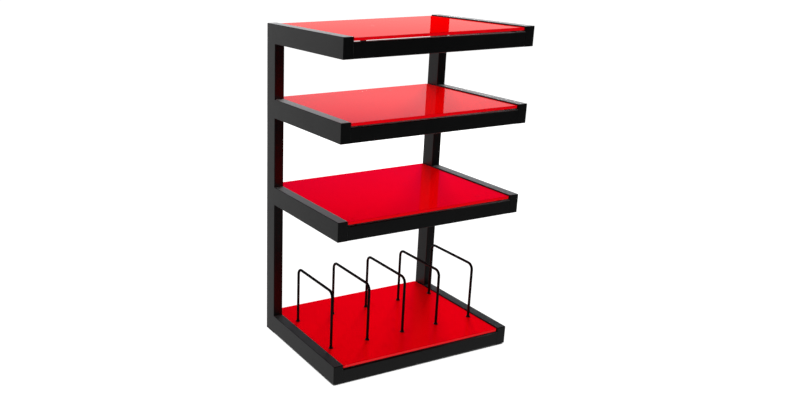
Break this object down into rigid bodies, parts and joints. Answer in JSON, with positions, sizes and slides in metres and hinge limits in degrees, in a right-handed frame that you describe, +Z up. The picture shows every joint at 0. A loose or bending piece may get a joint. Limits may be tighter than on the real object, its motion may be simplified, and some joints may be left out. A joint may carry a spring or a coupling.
{
  "type": "audio rack",
  "caption": "Open-fronted rack of black steel box section with loose red glass shelves, and wire record dividers standing on the lowest shelf.",
  "frame": {"origin": "on the floor under the centre of the rack's plan", "axes": "+Z up, +X to the rack's right seen from its open front, which faces -Y; the posts stand at +Y"},
  "size_m": [0.6, 0.418, 0.95],
  "materials": {
    "frame": "satin black powder coat with a very fine grain",
    "shelf_glass": "polished toughened glass, painted opaque red on its underside, with bright ground edges",
    "divider": "satin black coated wire",
    "pad": "matt dark silicone",
    "foot": "matt black nylon",
    "bush": "satin black nylon"
  },
  "bodies": {
    "frame": {"left_post": "frame", "right_post": "frame", "left_arm_top": "frame", "left_arm_upper": "frame", "left_arm_middle": "frame", "left_arm_bottom": "frame", "right_arm_top": "frame", "right_arm_upper": "frame", "right_arm_middle": "frame", "right_arm_bottom": "frame", "front_bar_top": "frame", "front_bar_upper": "frame", "front_bar_middle": "frame", "front_bar_bottom": "frame", "rear_bar_top": "frame", "rear_bar_upper": "frame", "rear_bar_middle": "frame", "rear_bar_bottom": "frame", "pad_top_front_left": "pad", "pad_top_front_right": "pad", "pad_top_rear_left": "pad", "pad_top_rear_right": "pad", "pad_upper_front_left": "pad", "pad_upper_front_right": "pad", "pad_upper_rear_left": "pad", "pad_upper_rear_right": "pad", "pad_middle_front_left": "pad", "pad_middle_front_right": "pad", "pad_middle_rear_left": "pad", "pad_middle_rear_right": "pad", "pad_bottom_front_left": "pad", "pad_bottom_front_right": "pad", "pad_bottom_rear_left": "pad", "pad_bottom_rear_right": "pad", "left_post_foot": "foot", "right_post_foot": "foot", "left_front_glide": "foot", "right_front_glide": "foot"},
    "top_shelf": {"shelf_top": "shelf_glass"},
    "upper_shelf": {"shelf_upper": "shelf_glass"},
    "middle_shelf": {"shelf_middle": "shelf_glass"},
    "bottom_shelf": {"shelf_bottom": "shelf_glass", "divider_bush_1_front": "bush", "divider_bush_1_rear": "bush", "divider_bush_2_front": "bush", "divider_bush_2_rear": "bush", "divider_bush_3_front": "bush", "divider_bush_3_rear": "bush", "divider_bush_4_front": "bush", "divider_bush_4_rear": "bush", "divider_bush_5_front": "bush", "divider_bush_5_rear": "bush"},
    "divider_1": {"divider_1": "divider"},
    "divider_2": {"divider_2": "divider"},
    "divider_3": {"divider_3": "divider"},
    "divider_4": {"divider_4": "divider"},
    "divider_5": {"divider_5": "divider"}
  },
  "joints": [
    {"name": "top_shelf_lift", "type": "slide", "parent": "frame", "child": "top_shelf", "axis": [0, 0, 1], "range_m": [0, 0.15]},
    {"name": "upper_shelf_lift", "type": "slide", "parent": "frame", "child": "upper_shelf", "axis": [0, 0, 1], "range_m": [0, 0.14]},
    {"name": "middle_shelf_lift", "type": "slide", "parent": "frame", "child": "middle_shelf", "axis": [0, 0, 1], "range_m": [0, 0.19]},
    {"name": "bottom_shelf_lift", "type": "slide", "parent": "frame", "child": "bottom_shelf", "axis": [0, 0, 1], "range_m": [0, 0.12]},
    {"name": "divider_1_lift", "type": "slide", "parent": "bottom_shelf", "child": "divider_1", "axis": [0, 0, 1], "range_m": [0, 0.1]},
    {"name": "divider_2_lift", "type": "slide", "parent": "bottom_shelf", "child": "divider_2", "axis": [0, 0, 1], "range_m": [0, 0.1]},
    {"name": "divider_3_lift", "type": "slide", "parent": "bottom_shelf", "child": "divider_3", "axis": [0, 0, 1], "range_m": [0, 0.1]},
    {"name": "divider_4_lift", "type": "slide", "parent": "bottom_shelf", "child": "divider_4", "axis": [0, 0, 1], "range_m": [0, 0.1]},
    {"name": "divider_5_lift", "type": "slide", "parent": "bottom_shelf", "child": "divider_5", "axis": [0, 0, 1], "range_m": [0, 0.1]}
  ]
}
